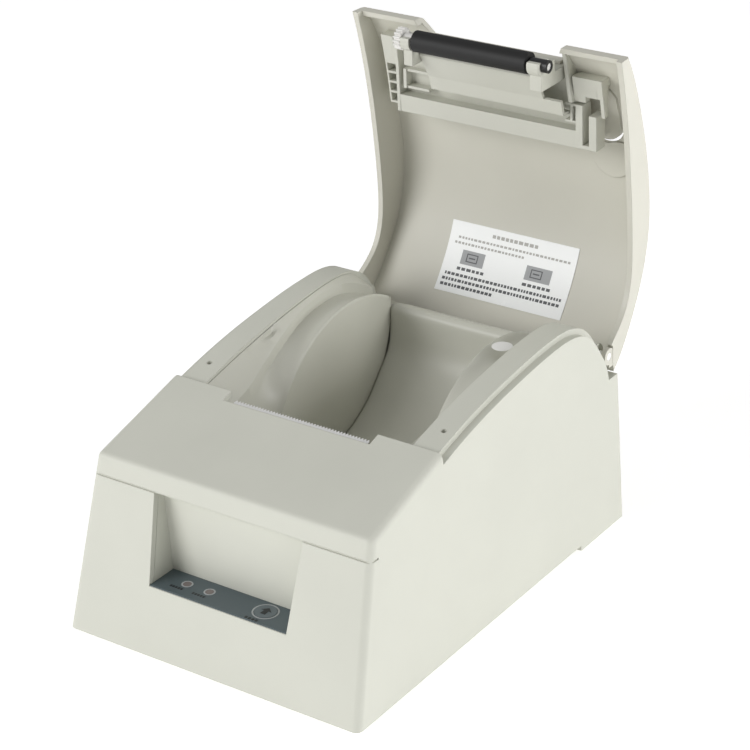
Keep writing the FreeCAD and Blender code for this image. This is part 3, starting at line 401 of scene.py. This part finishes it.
def make_panel_marks():
    film_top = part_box("panel_overlay")[1].z
    rings, captions = [], []
    for name in ("power_lens", "paper_lens"):
        low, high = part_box(name)
        middle, radius = (low + high) / 2, (high.x - low.x) / 2
        rings += ring_outlines(middle, radius, radius + 0.0006)
        for i in range(5):
            captions.append(bar(middle.x - 0.0045 + i * 0.0012, middle.y - 0.0038, 0.0008, 0.0011))
    low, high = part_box("feed_button")
    middle = (low + high) / 2
    key_radius = (high.x - low.x) / 2 - 0.001
    rings += ring_outlines(middle, key_radius + 0.00015, key_radius + 0.0007, 64)
    for i in range(4):
        captions.append(bar(middle.x - 0.0038 + i * 0.0015, middle.y - 0.0065, 0.0010, 0.0013))
    flat_mark("panel_rings", rings, film_top, "mark_light", "case")
    flat_mark("panel_captions", captions, film_top, "mark_dark", "case")
    arrow = [(0.0, 0.0024), (-0.0022, 0.0004), (-0.0010, 0.0004), (-0.0010, -0.0020),
             (0.0010, -0.0020), (0.0010, 0.0004), (0.0022, 0.0004)]
    placed = [(middle.x + x, middle.y + y) for x, y in arrow]
    flat_mark("feed_arrow", [placed], high.z, "mark_dark", "feed_button")


def label_tree():
    mesh = NODES["instruction_label"].data
    return BVHTree.FromPolygons([v.co for v in mesh.vertices], [tuple(p.vertices) for p in mesh.polygons])


def label_patches(name, patches, slot, lift=0.00005):
    """Printed areas of the label: (left, right, top, bottom) as shares of its width and height."""
    low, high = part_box("instruction_label")
    tree = label_tree()
    points, faces = [], []
    for left, right, top, bottom in patches:
        rows = max(2, int((bottom - top) / 0.04) + 2)
        start = len(points)
        for r in range(rows):
            share = top + (bottom - top) * r / (rows - 1)
            for across in (left, right):
                x = low.x + (high.x - low.x) * across
                z = high.z - (high.z - low.z) * share
                hit, normal, _, _ = tree.ray_cast(Vector((x, low.y - 0.02, z)), Vector((0, 1, 0)))
                points.append(hit + normal * lift if normal.y < 0 else hit - normal * lift)
        for r in range(rows - 1):
            a = start + 2 * r
            faces.append((a, a + 2, a + 3, a + 1))
    finish_piece(new_object(name, points, faces, smooth=False), slot, "lid")


def dashes(random_source, left, right, middle, height, short, long, gap):
    """A row of small dashes that stands for a line of small print."""
    made, x = [], left
    while x < right - short:
        width = random_source.uniform(short, long)
        made.append((x, min(x + width, right), middle - height / 2, middle + height / 2))
        x += width + gap
    return made


def make_label_print():
    source = random.Random(4)
    faint = dashes(source, 0.33, 0.70, 0.12, 0.050, 0.022, 0.034, 0.010)
    faint += dashes(source, 0.07, 0.96, 0.235, 0.032, 0.012, 0.026, 0.009)
    faint += dashes(source, 0.05, 0.60, 0.315, 0.032, 0.012, 0.026, 0.009)
    dark = dashes(source, 0.12, 0.34, 0.665, 0.040, 0.022, 0.036, 0.010)
    dark += dashes(source, 0.64, 0.86, 0.665, 0.040, 0.022, 0.036, 0.010)
    for left, right, middle in ((0.04, 0.97, 0.755), (0.03, 0.96, 0.83), (0.03, 0.46, 0.905)):
        dark += dashes(source, left, right, middle, 0.038, 0.012, 0.028, 0.008)
    label_patches("label_faint_lines", faint, "faint_ink")
    label_patches("label_lines", dark, "ink")
    label_patches("label_pictures", [(0.13, 0.31, 0.40, 0.60), (0.64, 0.84, 0.40, 0.60)], "grey_ink")
    strokes = []
    for left in (0.13, 0.64):
        strokes += [(left + 0.04, left + 0.13, 0.44, 0.455), (left + 0.04, left + 0.13, 0.545, 0.56),
                    (left + 0.04, left + 0.048, 0.455, 0.545), (left + 0.122, left + 0.13, 0.455, 0.545),
                    (left + 0.06, left + 0.11, 0.49, 0.51)]
    label_patches("label_picture_lines", strokes, "ink", 0.0001)


make_camera()
make_light()
make_floor()
dress_nodes()
make_cheek(-1, "roll_cheek_left", "left_cheek")
make_cheek(1, "roll_cheek_right", "right_cheek")
make_trough()
make_panel_marks()
make_label_print()
